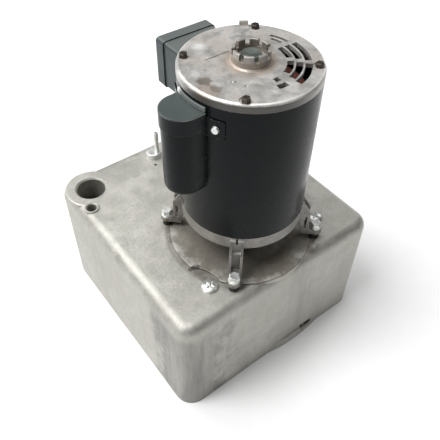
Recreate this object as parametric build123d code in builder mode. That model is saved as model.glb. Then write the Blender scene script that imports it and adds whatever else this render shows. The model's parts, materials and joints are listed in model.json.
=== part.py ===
from math import cos, radians, sin
import os

from build123d import *

# Combustion fan: a cast volute housing with a vertical capacitor-start motor standing on it.
# Frame: +Z up, origin where the shaft axis meets the mounting plane, -Y is the side with the foot lug.
# All lengths are in millimetres.

os.makedirs("parts", exist_ok=True)


def save(builder, name):
    """Label a finished sub-part and write it as its own node."""
    builder.part.label = name
    export_step(builder.part, f"parts/{name}.step")


def polar_point(radius, angle):
    """Point in plan at a radius and an angle in degrees around the shaft axis."""
    return (radius * cos(radians(angle)), radius * sin(radians(angle)))


# ---------------------------------------------------------------- driving dimensions

# cast housing
housing_x = 264.0
housing_y = 266.0
housing_height = 151.0
housing_offset_y = 54.0
housing_draft = 0.38
housing_flare = 1.0
housing_corner = 20.5
housing_top_round = 13.0
housing_wall = 6.0
housing_roof = 7.0
front_y = housing_offset_y - housing_y / 2
right_x = housing_x / 2

# raised pad under the motor
pad_radius = 78.0
pad_rise = 2.5
pad_top = housing_height + pad_rise
shield_screw_radius = 87.0
shield_screw_angles = (-149.5, -26.0, 92.0)
scallop_radius = 38.0
scallop_centre = 109.5
scallop_turn = -7.5

# ports in the roof
port_centre = (-102.5, 156.5)
port_radius = 16.7
port_boss_radius = 31.5
tap_centre = (-118.0, 126.0)
tap_radius = 5.6
fitting_centre = (-9.8, 162.4)
stem_centre = (-6.3, 159.6)
fitting_thread_radius = 6.5

# discharge opening in the right wall
outlet_y = 81.0
outlet_z = 68.0
outlet_width = 72.0
outlet_height = 108.0

# foot lug on the front face
foot_pad_x = 28.0
foot_pad_radius = 200.0
foot_pad_reach = 4.2
foot_pad_height = 9.0
lug_x = 49.5
lug_y = -78.1
lug_floor = 4.5
lug_hole_radius = 2.4

# motor stack, heights above the mounting plane
ring_bottom = 190.0
shell_bottom = 206.5
shell_top = 354.0
bell_top = 362.0
motor_radius = 63.5
shell_thickness = 2.0
shell_bore = motor_radius - shell_thickness
motor_twist = 1.7
corner_angles = [motor_twist + 45 + 90 * k for k in range(4)]
through_bolt_radius = 57.3
through_bolt_shank = 2.4

# motor feet
foot_bolt_radius = 82.0
leg_outer = 73.4
leg_floor = 68.0
leg_width = 13.5
leg_flange = 2.4
ear_thickness = 5.0
ear_top = 164.5
ear_bottom = ear_top - ear_thickness
ear_end_radius = 7.0
foot_shank = 3.0

# rotating parts
shaft_radius = 6.35
journal_radius = 7.5
rotor_bore = 9.0
rotor_radius = 34.7
air_gap = 0.4
core_bottom = 245.0
core_top = 310.0
lower_bearing = 192.0
upper_bearing = 338.0
bearing_width = 11.0
bearing_radius = 17.5
ball_radius = 2.9
ball_pitch = 12.5
running_gap = 0.05

# impeller
impeller_radius = 60.0
blade_count = 10
blade_inner = 40.0
blade_bottom = 51.5
blade_top = 104.0
sheet = 1.5

# base plate and inlet
plate_thickness = 3.0
inlet_radius = 35.0
inlet_length = 42.0
post_radius = 9.0
post_points = [(119, 174), (119, -67), (-119, -67), (-119, 96)]
plate_screw_shank = 2.0

# heat shield under the roof
pad_underside = housing_height - housing_roof
insulation_thickness = 6.0
shield_bottom = pad_underside - insulation_thickness - sheet
shield_radius = 97.0
shield_flat_y = -69.0

# scroll sheet
scroll_start = 40.0
scroll_sweep = 310.0
scroll_inner = 66.0
scroll_growth = 50.0
scroll_power = 2.7

# junction box and capacitor on the motor shell
box_left = -33.0
box_right = 27.0
box_bottom = 301.0
box_top = 350.0
box_face = 98.0
nose_centre = (-72.5, -1.0)
nose_radius = 19.0
cover_bottom = 262.0
cover_step = 331.0
cover_top = 347.0
lid_edge_top = 351.2
lid_edge_angle = 164.0
tab_angle = 154.0
tab_height = 334.0
capacitor_x = -76.4
capacitor_half_depth = 11.0
capacitor_half_width = 14.5

# face of the top end bell
hub_radius = 16.8
hub_bore = 13.6
hub_foot = 18.4
hub_rise = 12.4
hub_slot_depth = 5.8
hub_floor = 3.0
hub_slot_start = 20.0
cap_radius = 7.0
vent_rows = [
    (33.2, 5.8, [(-27, 2), (-69, -36)]),
    (40.8, 6.0, [(-32, 1), (-75, -39)]),
    (48.6, 6.2, [(-35, 0), (-78, -41)]),
    (34.2, 5.0, [(-96, -87)]),
    (43.2, 5.4, [(-100, -87)]),
    (41.3, 3.2, [(10, 25)]),
    (46.6, 3.4, [(7, 29)]),
]
face_dimples = [(-33.0, -16.0), (-29.5, -17.5), (-27.0, -27.0)]
groove_start = (-30.6, 22.7)
groove_end = (-5.4, 23.1)


# ---------------------------------------------------------------- housing

with BuildPart() as port_boss:
    with BuildSketch(Plane.XY.offset(housing_height)):
        with Locations(port_centre):
            Circle(port_boss_radius)
    extrude(amount=-46, taper=9)
    fillet(port_boss.edges().sort_by(Axis.Z)[-1], 3)

with BuildPart() as motor_pad:
    with BuildSketch(Plane.XY.offset(housing_height - 12)):
        Circle(pad_radius)
        for angle in shield_screw_angles:
            with Locations(polar_point(scallop_centre, angle + scallop_turn)):
                Circle(scallop_radius, mode=Mode.SUBTRACT)
        for angle in corner_angles:
            with Locations(polar_point(foot_bolt_radius, angle)):
                Circle(9, mode=Mode.SUBTRACT)
    extrude(amount=12 + pad_rise)
    fillet(motor_pad.faces().sort_by(Axis.Z)[-1].edges(), 0.9)

with BuildPart() as housing:
    with BuildSketch():
        with Locations((0, housing_offset_y)):
            RectangleRounded(housing_x + 2 * housing_flare, housing_y + 2 * housing_flare, housing_corner)
    extrude(amount=housing_height, taper=housing_draft)
    fillet(housing.faces().sort_by(Axis.Z)[-1].edges(), housing_top_round)
    add(port_boss.part)
    add(motor_pad.part)
    # wide low foot pad on the front face
    with BuildSketch():
        with Locations((foot_pad_x, front_y - housing_flare - foot_pad_reach + foot_pad_radius)):
            Circle(foot_pad_radius)
        with Locations((foot_pad_x, front_y + 1)):
            Rectangle(90, 12, mode=Mode.INTERSECT)
    extrude(amount=foot_pad_height, taper=15)
    # hollow inside, open downward
    with BuildSketch():
        with Locations((0, housing_offset_y)):
            RectangleRounded(
                housing_x + 2 * (housing_flare - housing_wall),
                housing_y + 2 * (housing_flare - housing_wall),
                housing_corner - housing_wall,
            )
    extrude(amount=housing_height - housing_roof, taper=housing_draft, mode=Mode.SUBTRACT)
    # screw posts along the walls for the base plate
    with BuildSketch(Plane.XY.offset(plate_thickness)):
        with Locations(*post_points):
            Circle(post_radius)
    extrude(amount=housing_height - plate_thickness - 10)
    with BuildSketch(Plane.XY.offset(plate_thickness)):
        with Locations(*post_points):
            Circle(plate_screw_shank + 0.1)
    extrude(amount=14, mode=Mode.SUBTRACT)
    # inner bosses of the roof ports
    with BuildSketch(Plane.XY.offset(housing_height - 30)):
        with Locations(port_centre):
            Circle(23)
        with Locations(tap_centre):
            Circle(10)
        with Locations(fitting_centre):
            Circle(11)
    extrude(amount=24)
    # bosses for the foot bolts, down to the heat shield
    with BuildSketch(Plane.XY.offset(shield_bottom + sheet)):
        for angle in corner_angles:
            with Locations(polar_point(foot_bolt_radius, angle)):
                Circle(7.5)
    extrude(amount=insulation_thickness + 1)
    # raised rim of the small tapped port
    with BuildSketch(Plane.XY.offset(housing_height - 2)):
        with Locations(tap_centre):
            Circle(8.6)
    extrude(amount=3.6)
    # tapped ports with broken edges
    with Locations((port_centre[0], port_centre[1], housing_height)):
        CounterSinkHole(port_radius, port_radius + 2.0, depth=40, counter_sink_angle=90)
    with Locations((tap_centre[0], tap_centre[1], housing_height + 1.6)):
        CounterSinkHole(tap_radius, tap_radius + 1.2, depth=40, counter_sink_angle=90)
    with Locations((fitting_centre[0], fitting_centre[1], housing_height)):
        Hole(fitting_thread_radius + 0.1, depth=40)
    # shaft opening with a seat for the seal ring
    with Locations((0, 0, pad_top)):
        CounterBoreHole(11, 21, 6, depth=20)
    # bolt and screw holes in the roof
    with BuildSketch(Plane.XY.offset(housing_height + 1)):
        for angle in corner_angles:
            with Locations(polar_point(foot_bolt_radius, angle)):
                Circle(foot_shank + 0.1)
        for angle in shield_screw_angles:
            with Locations(polar_point(shield_screw_radius, angle)):
                Circle(3.1)
        with Locations((-18, 146)):
            Circle(1.7)
    extrude(amount=-22, mode=Mode.SUBTRACT)
    with BuildSketch(Plane.XY.offset(pad_top)):
        with PolarLocations(26, 3, start_angle=30):
            Circle(1.6)
    extrude(amount=-6, mode=Mode.SUBTRACT)
    # discharge opening and its four tapped holes
    with BuildSketch(Plane.YZ.offset(right_x - 20)):
        with Locations((outlet_y, outlet_z)):
            RectangleRounded(outlet_width, outlet_height, 6)
            with GridLocations(outlet_width + 18, outlet_height - 30, 2, 2):
                Circle(2.6)
    extrude(amount=30, mode=Mode.SUBTRACT)
    # pocket for a holding screw above the foot pad
    with BuildSketch(Plane.XY.offset(lug_floor)):
        with Locations((lug_x, front_y - 1.2)):
            SlotOverall(19, 9)
    extrude(amount=8.5, mode=Mode.SUBTRACT)
    with BuildSketch():
        with Locations((lug_x, lug_y)):
            Circle(lug_hole_radius)
    extrude(amount=lug_floor, mode=Mode.SUBTRACT)
save(housing, "housing")


# ---------------------------------------------------------------- base plate, inlet and scroll

with BuildPart() as base_plate:
    with BuildSketch():
        with Locations((0, housing_offset_y)):
            RectangleRounded(
                housing_x + 2 * (housing_flare - housing_wall) - 1,
                housing_y + 2 * (housing_flare - housing_wall) - 1,
                housing_corner - housing_wall,
            )
        Circle(inlet_radius + 11, mode=Mode.SUBTRACT)
    extrude(amount=plate_thickness)
    for x, y in post_points:
        with Locations(Location((x, y, 0), (180, 0, 0))):
            CounterSinkHole(plate_screw_shank + 0.1, 4.1, counter_sink_angle=90)
    with BuildSketch():
        with PolarLocations(inlet_radius + 19, 6):
            Circle(2)
    extrude(amount=plate_thickness, mode=Mode.SUBTRACT)
save(base_plate, "base_plate")

with BuildPart() as base_plate_screws:
    with BuildSketch(Plane.XZ):
        with BuildLine():
            Polyline((0, 0), (4, 0), (plate_screw_shank, 2), (plate_screw_shank, 15), (0, 15), close=True)
        make_face()
    revolve(axis=Axis.Z)
    with BuildSketch():
        Rectangle(4.6, 1)
        Rectangle(1, 4.6)
    extrude(amount=1.2, mode=Mode.SUBTRACT)
with BuildPart() as plate_screw_set:
    with Locations(*post_points):
        add(base_plate_screws.part)
save(plate_screw_set, "base_plate_screws")

with BuildPart() as inlet_ring:
    with BuildSketch(Plane.XZ):
        with BuildLine():
            ThreePointArc((inlet_radius + 10, 3), (inlet_radius + 2.9, 10), (inlet_radius, 20))
            Line((inlet_radius, 20), (inlet_radius, inlet_length))
            Line((inlet_radius, inlet_length), (inlet_radius + 1.2, inlet_length))
            Line((inlet_radius + 1.2, inlet_length), (inlet_radius + 1.2, 20))
            ThreePointArc((inlet_radius + 1.2, 20), (inlet_radius + 4, 10.6), (inlet_radius + 10.5, 4.2))
            Line((inlet_radius + 10.5, 4.2), (inlet_radius + 24, 4.2))
            Line((inlet_radius + 24, 4.2), (inlet_radius + 24, 3))
            Line((inlet_radius + 24, 3), (inlet_radius + 10, 3))
        make_face()
    revolve(axis=Axis.Z)
    with BuildSketch(Plane.XY.offset(3)):
        with PolarLocations(inlet_radius + 19, 6):
            Circle(2)
    extrude(amount=2, mode=Mode.SUBTRACT)
save(inlet_ring, "inlet_ring")

with BuildPart() as inlet_rivets:
    with BuildSketch():
        with PolarLocations(inlet_radius + 19, 6):
            Circle(2)
    extrude(amount=4.2)
    with BuildSketch(Plane.XY.offset(4.2)):
        with PolarLocations(inlet_radius + 19, 6):
            Circle(3.6)
    extrude(amount=1.4, taper=25)
save(inlet_rivets, "inlet_rivets")


def scroll_point(step, radius_extra):
    """Point on the scroll curve; step runs from 0 at the tongue to 1 at the outlet."""
    radius = scroll_inner + scroll_growth * step**scroll_power + radius_extra
    return polar_point(radius, scroll_start - scroll_sweep * step)


scroll_steps = [k / 24 for k in range(25)]
with BuildPart() as scroll:
    with BuildSketch(Plane.XY.offset(plate_thickness)):
        with BuildLine():
            inner_curve = Spline(*[scroll_point(step, 0) for step in scroll_steps])
            outer_curve = Spline(*[scroll_point(step, sheet) for step in scroll_steps])
            outlet_end = (right_x - housing_wall - 1, scroll_inner + scroll_growth)
            Line(inner_curve @ 1, outlet_end)
            Line(outlet_end, (outlet_end[0], outlet_end[1] + sheet))
            Line((outlet_end[0], outlet_end[1] + sheet), outer_curve @ 1)
            Line(outer_curve @ 0, inner_curve @ 0)
        make_face()
    extrude(amount=shield_bottom - plate_thickness)
save(scroll, "scroll_sheet")

tongue = scroll_point(0, 0)
with BuildPart() as outlet_guide:
    with BuildSketch(Plane.XY.offset(plate_thickness)):
        with BuildLine():
            Polyline(
                (tongue[0] + 2.5, tongue[1] + 1.5),
                (right_x - housing_wall - 1, outlet_y - outlet_width / 2 - 1),
                (right_x - housing_wall - 1, outlet_y - outlet_width / 2 - 1 - sheet),
                (tongue[0] + 3.3, tongue[1] + 0.3),
                close=True,
            )
        make_face()
    extrude(amount=shield_bottom - plate_thickness)
save(outlet_guide, "outlet_guide")


# ---------------------------------------------------------------- heat shield under the roof

with BuildPart() as insulation:
    with BuildSketch(Plane.XY.offset(pad_underside - insulation_thickness)):
        Circle(shield_radius - 2)
        with Locations((0, shield_flat_y + 2 - 50)):
            Rectangle(2 * shield_radius, 100, mode=Mode.SUBTRACT)
        Circle(14, mode=Mode.SUBTRACT)
        for angle in shield_screw_angles:
            with Locations(polar_point(shield_screw_radius, angle)):
                Circle(3, mode=Mode.SUBTRACT)
        for angle in corner_angles:
            with Locations(polar_point(foot_bolt_radius, angle)):
                Circle(8, mode=Mode.SUBTRACT)
    extrude(amount=insulation_thickness)
save(insulation, "insulation_disc")

with BuildPart() as heat_shield:
    with BuildSketch(Plane.XY.offset(shield_bottom)):
        Circle(shield_radius)
        with Locations((0, shield_flat_y - 50)):
            Rectangle(2 * shield_radius, 100, mode=Mode.SUBTRACT)
        Circle(12, mode=Mode.SUBTRACT)
        for angle in shield_screw_angles:
            with Locations(polar_point(shield_screw_radius, angle)):
                Circle(2.6, mode=Mode.SUBTRACT)
    extrude(amount=sheet)
save(heat_shield, "heat_shield")

with BuildPart() as shield_screw:
    with BuildSketch(Plane.XZ):
        with BuildLine():
            Line((0, shield_bottom - 9), (2.5, shield_bottom - 9))
            Line((2.5, shield_bottom - 9), (2.5, housing_height))
            Line((2.5, housing_height), (8.8, housing_height))
            Line((8.8, housing_height), (8.8, housing_height + 1.2))
            ThreePointArc(
                (8.8, housing_height + 1.2),
                (6.2, housing_height + 3.1),
                (0, housing_height + 3.9),
            )
            Line((0, housing_height + 3.9), (0, shield_bottom - 9))
        make_face()
    revolve(axis=Axis.Z)
    with BuildSketch(Plane.XY.offset(housing_height + 5)):
        Rectangle(10, 1.8)
        Rectangle(1.8, 10)
    extrude(amount=-3.2, mode=Mode.SUBTRACT)
with BuildPart() as shield_screws:
    for angle in shield_screw_angles:
        with Locations(Location((*polar_point(shield_screw_radius, angle), 0), (0, 0, 25))):
            add(shield_screw.part)
save(shield_screws, "shield_screws")

with BuildPart() as shield_nuts:
    with BuildSketch(Plane.XY.offset(shield_bottom - 4)):
        for angle in shield_screw_angles:
            with Locations(polar_point(shield_screw_radius, angle)):
                RegularPolygon(4.6, 6)
                Circle(2.5, mode=Mode.SUBTRACT)
    extrude(amount=4)
save(shield_nuts, "shield_nuts")


# ---------------------------------------------------------------- shaft seal

with BuildPart() as shaft_seal:
    with BuildSketch(Plane.XY.offset(pad_top - 6)):
        Circle(20.8)
        Circle(shaft_radius + running_gap, mode=Mode.SUBTRACT)
    extrude(amount=6)
save(shaft_seal, "shaft_seal")

with BuildPart() as seal_plate:
    with BuildSketch(Plane.XY.offset(pad_top)):
        Circle(32)
        Circle(9, mode=Mode.SUBTRACT)
        with PolarLocations(26, 3, start_angle=30):
            Circle(1.6, mode=Mode.SUBTRACT)
    extrude(amount=1.5)
save(seal_plate, "seal_plate")

with BuildPart() as seal_screws:
    with BuildSketch(Plane.XY.offset(pad_top - 5)):
        with PolarLocations(26, 3, start_angle=30):
            Circle(1.5)
    extrude(amount=6.5)
    with BuildSketch(Plane.XY.offset(pad_top + 1.5)):
        with PolarLocations(26, 3, start_angle=30):
            Circle(3)
    extrude(amount=1.8)
save(seal_screws, "seal_screws")


# ---------------------------------------------------------------- impeller

with BuildPart() as impeller_hub:
    with BuildSketch(Plane.XY.offset(blade_top - 2)):
        Circle(12)
    extrude(amount=2 + sheet)
    with BuildSketch(Plane.XY.offset(blade_top + sheet)):
        Circle(24)
    extrude(amount=4)
    with BuildSketch(Plane.XY.offset(blade_top + sheet + 4)):
        Circle(13.5)
    extrude(amount=18)
    fillet(impeller_hub.edges().filter_by(GeomType.CIRCLE).sort_by(Axis.Z)[-1], 1)
    with BuildSketch(Plane.XY.offset(blade_top - 2)):
        Circle(shaft_radius)
        with PolarLocations(19, 4):
            Circle(1.6)
    extrude(amount=30, mode=Mode.SUBTRACT)
    with BuildSketch(Plane.XZ.offset(0)):
        with Locations((0, blade_top + 17)):
            Circle(2.5)
    extrude(amount=20, mode=Mode.SUBTRACT)
save(impeller_hub, "impeller_hub")

with BuildPart() as set_screw:
    with BuildSketch(Plane.XZ.offset(shaft_radius)):
        with Locations((0, blade_top + 17)):
            Circle(2.5)
    extrude(amount=6.5)
    with BuildSketch(Plane.XZ.offset(shaft_radius + 6.5)):
        with Locations((0, blade_top + 17)):
            RegularPolygon(1.5, 6)
    extrude(amount=-3, mode=Mode.SUBTRACT)
save(set_screw, "hub_set_screw")

with BuildPart() as impeller_backplate:
    with BuildSketch(Plane.XY.offset(blade_top)):
        Circle(impeller_radius + 1)
        Circle(12, mode=Mode.SUBTRACT)
        with PolarLocations(19, 4):
            Circle(1.6, mode=Mode.SUBTRACT)
    extrude(amount=sheet)
save(impeller_backplate, "impeller_backplate")

with BuildPart() as hub_rivets:
    with BuildSketch(Plane.XY.offset(blade_top)):
        with PolarLocations(19, 4):
            Circle(1.6)
    extrude(amount=sheet + 4)
    with BuildSketch(Plane.XY.offset(blade_top)):
        with PolarLocations(19, 4):
            Circle(3)
    extrude(amount=-1.4, taper=20)
save(hub_rivets, "hub_rivets")

with BuildPart() as impeller_shroud:
    with BuildSketch(Plane.XZ):
        with BuildLine():
            Polyline(
                (inlet_radius + 3, inlet_length - 3),
                (inlet_radius + 4.2, inlet_length - 3),
                (inlet_radius + 4.2, blade_bottom - sheet),
                (impeller_radius + 1, blade_bottom - sheet),
                (impeller_radius + 1, blade_bottom),
                (inlet_radius + 3, blade_bottom),
                close=True,
            )
        make_face()
    revolve(axis=Axis.Z)
save(impeller_shroud, "impeller_shroud")

with BuildPart() as blade:
    with BuildSketch(Plane.XY.offset(blade_bottom)):
        with BuildLine():
            camber = ThreePointArc((blade_inner, 0), polar_point(51.2, 13), polar_point(impeller_radius, 33))
        trace(camber, line_width=sheet)
    extrude(amount=blade_top - blade_bottom)
with BuildPart() as impeller_blades:
    with PolarLocations(0, blade_count):
        add(blade.part)
save(impeller_blades, "impeller_blades")


# ---------------------------------------------------------------- shaft, rotor and bearings

with BuildPart() as motor_shaft:
    with BuildSketch(Plane.XZ):
        with BuildLine():
            Polyline(
                (0, blade_top - 1.5),
                (shaft_radius - 0.8, blade_top - 1.5),
                (shaft_radius, blade_top - 0.7),
                (shaft_radius, lower_bearing - 4),
                (journal_radius, lower_bearing - 3),
                (journal_radius, lower_bearing + bearing_width),
                (rotor_bore, lower_bearing + bearing_width),
                (rotor_bore, upper_bearing),
                (journal_radius, upper_bearing),
                (journal_radius, upper_bearing + bearing_width + 0.2),
                (journal_radius - 0.8, upper_bearing + bearing_width + 1),
                (0, upper_bearing + bearing_width + 1),
                close=True,
            )
        make_face()
    revolve(axis=Axis.Z)
save(motor_shaft, "motor_shaft")

with BuildPart() as slinger:
    with BuildSketch(Plane.XY.offset(164)):
        Circle(30)
    extrude(amount=1.5)
    with BuildSketch(Plane.XY.offset(165.5)):
        Circle(11)
    extrude(amount=9)
    with BuildSketch(Plane.XY.offset(165.5)):
        with PolarLocations(20.5, 8):
            Rectangle(15, 1.2)
    extrude(amount=5)
    with BuildSketch(Plane.XY.offset(160)):
        Circle(shaft_radius)
    extrude(amount=20, mode=Mode.SUBTRACT)
save(slinger, "shaft_slinger")

with BuildPart() as rotor_core:
    with BuildSketch(Plane.XY.offset(core_bottom)):
        Circle(rotor_radius)
        Circle(rotor_bore, mode=Mode.SUBTRACT)
    extrude(amount=core_top - core_bottom)
save(rotor_core, "rotor_core")

with BuildPart() as end_rings:
    for level, height in ((core_bottom, -7), (core_top, 7)):
        with BuildSketch(Plane.XY.offset(level)):
            Circle(rotor_radius - 1)
            Circle(22, mode=Mode.SUBTRACT)
        extrude(amount=height)
        with BuildSketch(Plane.XY.offset(level)):
            with PolarLocations(28, 8):
                Rectangle(9, 2)
        extrude(amount=1.9 * height)
save(end_rings, "rotor_end_rings")


def bearing_section(inner, outer, level):
    """Race ring between two radii with a ball groove at the ball pitch."""
    with BuildPart() as ring:
        with BuildSketch(Plane.XY.offset(level)):
            Circle(outer)
            Circle(inner, mode=Mode.SUBTRACT)
        extrude(amount=bearing_width)
        with Locations((0, 0, level + bearing_width / 2)):
            Torus(ball_pitch, ball_radius + running_gap, mode=Mode.SUBTRACT)
    return ring


for place, level in (("lower", lower_bearing), ("upper", upper_bearing)):
    save(bearing_section(14.9, bearing_radius, level), f"{place}_bearing_outer")
    save(bearing_section(journal_radius, 10.1, level), f"{place}_bearing_inner")
    with BuildPart() as balls:
        with Locations((0, 0, level + bearing_width / 2)):
            with PolarLocations(ball_pitch, 8):
                Sphere(ball_radius)
    save(balls, f"{place}_bearing_balls")

with BuildPart() as wave_washer:
    with BuildSketch(Plane.XY.offset(upper_bearing + bearing_width)):
        Circle(bearing_radius - 0.3)
        Circle(13, mode=Mode.SUBTRACT)
    extrude(amount=1.5)
save(wave_washer, "wave_washer")


# ---------------------------------------------------------------- stator

with BuildPart() as stator_core:
    with BuildSketch(Plane.XY.offset(core_bottom)):
        Circle(shell_bore)
        Circle(rotor_radius + air_gap, mode=Mode.SUBTRACT)
        with PolarLocations(46, 24):
            SlotOverall(15, 5, mode=Mode.SUBTRACT)
        with PolarLocations(through_bolt_radius, 4, start_angle=corner_angles[0]):
            Circle(through_bolt_shank + 0.3, mode=Mode.SUBTRACT)
    extrude(amount=core_top - core_bottom)
save(stator_core, "stator_core")

with BuildPart() as windings:
    for level, height in ((core_bottom, -24), (core_top, 26)):
        with BuildSketch(Plane.XY.offset(level)):
            Circle(54)
            Circle(38, mode=Mode.SUBTRACT)
        extrude(amount=height)
    fillet(windings.faces().sort_by(Axis.Z)[0].edges(), 6)
    fillet(windings.faces().sort_by(Axis.Z)[-1].edges(), 6)
    with BuildSketch(Plane.XY.offset(core_bottom)):
        with PolarLocations(46, 24):
            SlotOverall(14.6, 4.6)
    extrude(amount=core_top - core_bottom)
save(windings, "stator_windings")


# ---------------------------------------------------------------- motor shell

with BuildPart() as motor_shell:
    with BuildSketch(Plane.XY.offset(shell_bottom)):
        Circle(motor_radius)
        Circle(shell_bore, mode=Mode.SUBTRACT)
    extrude(amount=shell_top - shell_bottom)
    # lead hole into the junction box
    with BuildSketch(Plane.XZ.offset(-motor_radius - 5)):
        with Locations((-3, 326)):
            Circle(9)
    extrude(amount=20, mode=Mode.SUBTRACT)
    # lead slot into the capacitor cover
    with BuildSketch(Plane.YZ.offset(-motor_radius - 5)):
        with Locations((nose_centre[1], 336)):
            Circle(5)
    extrude(amount=20, mode=Mode.SUBTRACT)
    # screw holes for the capacitor cover
    for angle in (tab_angle, -tab_angle):
        with BuildSketch(Plane((0, 0, tab_height), z_dir=(*polar_point(1, angle), 0))):
            Circle(1.6)
        extrude(amount=motor_radius + 5, mode=Mode.SUBTRACT)
save(motor_shell, "motor_shell")


# ---------------------------------------------------------------- top end bell

with BuildPart() as top_bell:
    with BuildSketch(Plane.XY.offset(shell_top)):
        Circle(motor_radius)
    extrude(amount=bell_top - shell_top)
    fillet(top_bell.edges().sort_by(Axis.Z)[-1], 3.2)
    # spigot inside the shell, rim wall and bearing boss
    with BuildSketch(Plane.XY.offset(shell_top - 5)):
        Circle(shell_bore)
        Circle(58, mode=Mode.SUBTRACT)
    extrude(amount=5)
    with BuildSketch(Plane.XY.offset(shell_top)):
        Circle(58.5)
        Circle(bearing_radius + 4, mode=Mode.SUBTRACT)
        for angle in corner_angles:
            with Locations(polar_point(through_bolt_radius, angle)):
                Circle(6, mode=Mode.SUBTRACT)
    extrude(amount=4, mode=Mode.SUBTRACT)
    with BuildSketch(Plane.XY.offset(upper_bearing)):
        Circle(bearing_radius + 4)
    extrude(amount=bell_top - upper_bearing - 2)
    with BuildSketch(Plane.XY.offset(upper_bearing)):
        Circle(bearing_radius)
    extrude(amount=bearing_width + 1.5, mode=Mode.SUBTRACT)
    # castellated bearing hub on a flared foot
    with BuildSketch(Plane.XY.offset(bell_top)):
        Circle(hub_foot)
    extrude(amount=hub_foot - hub_radius, taper=45)
    with BuildSketch(Plane.XY.offset(bell_top)):
        Circle(hub_radius)
    extrude(amount=hub_rise)
    with BuildSketch(Plane.XY.offset(bell_top + hub_floor)):
        Circle(hub_bore)
    extrude(amount=hub_rise, mode=Mode.SUBTRACT)
    fillet(top_bell.faces().sort_by(Axis.Z)[-1].edges(), 0.8)
    with BuildSketch(Plane.XY.offset(bell_top + hub_rise - hub_slot_depth)):
        with PolarLocations((hub_radius + hub_bore) / 2, 8, start_angle=hub_slot_start):
            Rectangle(hub_radius - hub_bore + 3, 4.2)
    extrude(amount=hub_rise, mode=Mode.SUBTRACT)
    with BuildSketch(Plane.XY.offset(bell_top + hub_floor)):
        Circle(cap_radius)
    extrude(amount=-15, mode=Mode.SUBTRACT)
    # concentric cooling slots over one side of the face
    for radius, width, spans in vent_rows:
        for first, last in spans:
            with BuildSketch(Plane.XY.offset(bell_top)):
                with BuildLine():
                    row = CenterArc((0, 0), radius, first, last - first)
                trace(row, line_width=width)
            extrude(amount=-6, mode=Mode.SUBTRACT)
    # spot faces and holes for the through bolts
    with BuildSketch(Plane.XY.offset(bell_top)):
        for angle in corner_angles:
            with Locations(polar_point(through_bolt_radius, angle)):
                Circle(5.6)
    extrude(amount=-1.0, mode=Mode.SUBTRACT)
    with BuildSketch(Plane.XY.offset(bell_top)):
        for angle in corner_angles:
            with Locations(polar_point(through_bolt_radius, angle)):
                Circle(through_bolt_shank + 0.2)
    extrude(amount=-20, mode=Mode.SUBTRACT)
    # small drill marks and the cast groove on the closed side
    with BuildSketch(Plane.XY.offset(bell_top)):
        with Locations(*face_dimples):
            Circle(1.4)
    extrude(amount=-1.0, mode=Mode.SUBTRACT)
    with BuildSketch(Plane.XY.offset(bell_top + 2)):
        with BuildLine():
            groove = Line(groove_start, groove_end)
        trace(groove, line_width=1.1)
    extrude(amount=-2.8, mode=Mode.SUBTRACT)
    # lifting tab on the rim
    with BuildSketch(Plane.XY.offset(bell_top - 2)):
        with Locations(Location((*polar_point(61, 57), 0), (0, 0, 57))):
            Rectangle(2.4, 8)
    extrude(amount=5.5)
save(top_bell, "top_end_bell")

with BuildPart() as bearing_cap:
    with BuildSketch(Plane.XY.offset(bell_top + hub_floor)):
        Circle(cap_radius + 1.8)
    extrude(amount=4.6)
    fillet(bearing_cap.edges().sort_by(Axis.Z)[-1], 0.9)
save(bearing_cap, "bearing_cap")

with BuildPart() as through_bolts:
    with BuildSketch(Plane.XY.offset(bell_top - 1)):
        for angle in corner_angles:
            with Locations(polar_point(through_bolt_radius, angle)):
                RegularPolygon(3.9, 6)
    extrude(amount=3.8)
    chamfer(through_bolts.faces().sort_by(Axis.Z)[-4:].edges(), 0.5)
    with BuildSketch(Plane.XY.offset(ring_bottom + 3)):
        for angle in corner_angles:
            with Locations(polar_point(through_bolt_radius, angle)):
                Circle(through_bolt_shank)
    extrude(amount=bell_top - ring_bottom - 3)
save(through_bolts, "through_bolts")


# ---------------------------------------------------------------- bottom end bell with its four legs

with BuildPart() as leg:
    # two side flanges from the ring out to the foot
    with BuildSketch(Plane.XZ.offset(-leg_width / 2)):
        with BuildLine():
            Polyline(
                (motor_radius - 3, shell_bottom - 0.5),
                (motor_radius + 2, shell_bottom - 3),
                (leg_outer, ring_bottom + 1),
                (leg_outer, ear_top + 6),
                (leg_outer + 5, ear_top - 1),
                (leg_floor - 3, ear_top - 1),
                (motor_radius - 3, ring_bottom - 4),
                close=True,
            )
        make_face()
    extrude(amount=leg_width)
    # channel between the flanges, shallower above the ring's lower edge
    with BuildSketch(Plane.XZ.offset(-leg_width / 2 + leg_flange)):
        with BuildLine():
            Polyline(
                (leg_floor, ear_top),
                (leg_floor, ring_bottom - 2),
                (leg_floor - 2.4, ring_bottom - 1),
                (leg_floor - 2.4, shell_bottom),
                (leg_outer + 8, shell_bottom),
                (leg_outer + 8, ear_top),
                close=True,
            )
        make_face()
    extrude(amount=leg_width - 2 * leg_flange, mode=Mode.SUBTRACT)
    # window through both flanges
    with BuildSketch(Plane.XZ.offset(-leg_width / 2)):
        with Locations((leg_floor + 1.4, (ring_bottom + ear_top) / 2)):
            Rectangle(2.6, 17)
    extrude(amount=leg_width, mode=Mode.SUBTRACT)
    # flat ear that takes the foot bolt
    with BuildSketch(Plane.XY.offset(ear_bottom)):
        with Locations(((leg_floor - 3 + foot_bolt_radius) / 2, 0)):
            Rectangle(foot_bolt_radius - leg_floor + 3, leg_width)
        with Locations((foot_bolt_radius, 0)):
            Circle(ear_end_radius)
        with Locations((foot_bolt_radius, 0)):
            Circle(foot_shank + 0.2, mode=Mode.SUBTRACT)
    extrude(amount=ear_thickness)

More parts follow.
